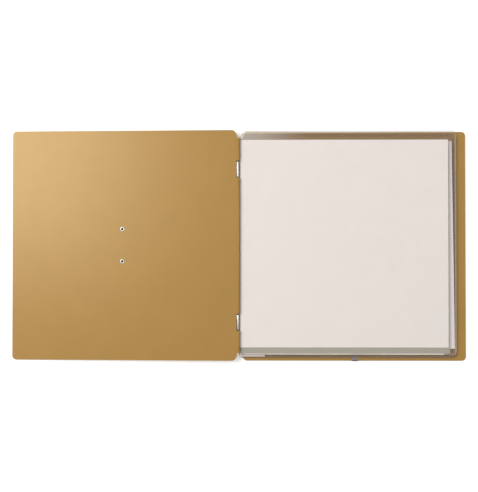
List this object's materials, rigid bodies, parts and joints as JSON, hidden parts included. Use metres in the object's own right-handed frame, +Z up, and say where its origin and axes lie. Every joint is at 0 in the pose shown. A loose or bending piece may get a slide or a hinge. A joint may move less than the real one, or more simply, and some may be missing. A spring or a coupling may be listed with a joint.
{
  "type": "scrapbook album",
  "caption": "Square post-bound scrapbook album lying open: leather-board covers on a rod hinge, turning clear pocket pages with slide-out sheets, and a strap closure.",
  "frame": {"origin": "on the table under the middle of the fold: the centre of the open album's footprint, at the back cover's underside", "axes": "+X across the pages, away from the opened front cover; +Y up the pages; +Z up, out of the pages' faces"},
  "size_m": [0.6679, 0.339, 0.0144],
  "materials": {
    "cover_board": "satin",
    "binding_board": "satin",
    "nickel": "satin",
    "rod_steel": "satin",
    "post_aluminium": "satin",
    "clear_film": "gloss",
    "margin_film": "satin",
    "seam_film": "gloss",
    "white_paper": "matte",
    "grey_card": "matte",
    "strap_web": "matte"
  },
  "bodies": {
    "root": {"back_cover": "cover_board", "spacer_strip": "binding_board", "front_strip": "cover_board", "upper_hinge_strap": "nickel", "lower_hinge_strap": "nickel", "post_barrels": "post_aluminium", "post_screws": "post_aluminium", "closure_strap": "strap_web", "page_5_margin": "margin_film", "page_4_margin": "margin_film", "page_3_margin": "margin_film", "page_2_margin": "margin_film", "page_1_margin": "margin_film"},
    "front_cover": {"front_cover": "cover_board", "hinge_rod": "rod_steel", "cover_rivets": "nickel", "strap_keeper": "nickel"},
    "page_5": {"page_5_back_film": "clear_film", "page_5_front_film": "clear_film", "page_5_seam": "seam_film"},
    "page_4": {"page_4_back_film": "clear_film", "page_4_front_film": "clear_film", "page_4_seam": "seam_film"},
    "page_3": {"page_3_back_film": "clear_film", "page_3_front_film": "clear_film", "page_3_seam": "seam_film"},
    "page_2": {"page_2_back_film": "clear_film", "page_2_front_film": "clear_film", "page_2_seam": "seam_film"},
    "page_1": {"page_1_back_film": "clear_film", "page_1_front_film": "clear_film", "page_1_seam": "seam_film"},
    "page_1_sheet": {"page_1_sheet": "white_paper"},
    "page_1_card": {"page_1_card": "grey_card"},
    "page_2_sheet": {"page_2_sheet": "white_paper"},
    "page_3_sheet": {"page_3_sheet": "white_paper"},
    "page_4_sheet": {"page_4_sheet": "white_paper"},
    "page_5_sheet": {"page_5_sheet": "white_paper"}
  },
  "joints": [
    {"name": "front_cover_hinge", "type": "hinge", "parent": "root", "child": "front_cover", "pos_m": [-0.0015, 0, 0.01138], "axis": [0, -1, 0], "range_deg": [-182.11, 0]},
    {"name": "page_5_turn", "type": "hinge", "parent": "root", "child": "page_5", "pos_m": [0.0012, 0, 0.01123], "axis": [0, -1, 0], "range_deg": [0, 180]},
    {"name": "page_4_turn", "type": "hinge", "parent": "page_5", "child": "page_4", "pos_m": [0.0012, 0, 0.01123], "axis": [0, -1, 0], "range_deg": [0, 180]},
    {"name": "page_3_turn", "type": "hinge", "parent": "page_4", "child": "page_3", "pos_m": [0.0012, 0, 0.01123], "axis": [0, -1, 0], "range_deg": [0, 180]},
    {"name": "page_2_turn", "type": "hinge", "parent": "page_3", "child": "page_2", "pos_m": [0.0012, 0, 0.01123], "axis": [0, -1, 0], "range_deg": [0, 180]},
    {"name": "page_1_turn", "type": "hinge", "parent": "page_2", "child": "page_1", "pos_m": [0.0012, 0, 0.01123], "axis": [0, -1, 0], "range_deg": [0, 180]},
    {"name": "page_1_sheet_slide", "type": "slide", "parent": "page_1", "child": "page_1_sheet", "axis": [0, 1, 0], "range_m": [0, 0.33]},
    {"name": "page_1_card_slide", "type": "slide", "parent": "page_1", "child": "page_1_card", "axis": [0, 1, 0], "range_m": [0, 0.33]},
    {"name": "page_2_sheet_slide", "type": "slide", "parent": "page_2", "child": "page_2_sheet", "axis": [0, 1, 0], "range_m": [0, 0.33]},
    {"name": "page_3_sheet_slide", "type": "slide", "parent": "page_3", "child": "page_3_sheet", "axis": [0, 1, 0], "range_m": [0, 0.33]},
    {"name": "page_4_sheet_slide", "type": "slide", "parent": "page_4", "child": "page_4_sheet", "axis": [0, 1, 0], "range_m": [0, 0.33]},
    {"name": "page_5_sheet_slide", "type": "slide", "parent": "page_5", "child": "page_5_sheet", "axis": [0, 1, 0], "range_m": [0, 0.33]}
  ]
}
